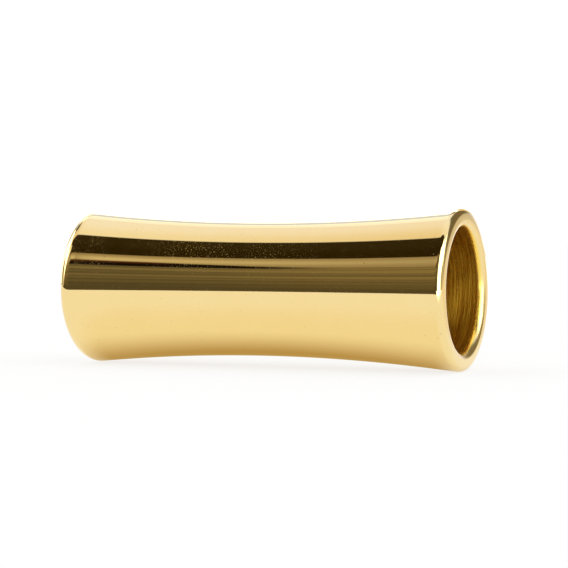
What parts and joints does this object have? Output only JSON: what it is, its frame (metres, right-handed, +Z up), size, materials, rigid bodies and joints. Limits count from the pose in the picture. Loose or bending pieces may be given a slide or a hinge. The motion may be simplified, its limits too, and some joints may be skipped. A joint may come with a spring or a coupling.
{
  "type": "guitar finger slide",
  "caption": "Short waisted brass tube with a flared, rounded lip at one end and a smooth through bore that fits over a finger.",
  "frame": {"origin": "on the bore axis, half way between the lip end and the tip end", "axes": "+X along the bore axis towards the flared lip end, +Z up as the slide lies on its side"},
  "size_m": [0.0635, 0.0248, 0.0248],
  "materials": {
    "polished_brass": "polished outside, machined satin bore"
  },
  "bodies": {
    "root": {"slide_body": "polished_brass"}
  },
  "joints": []
}
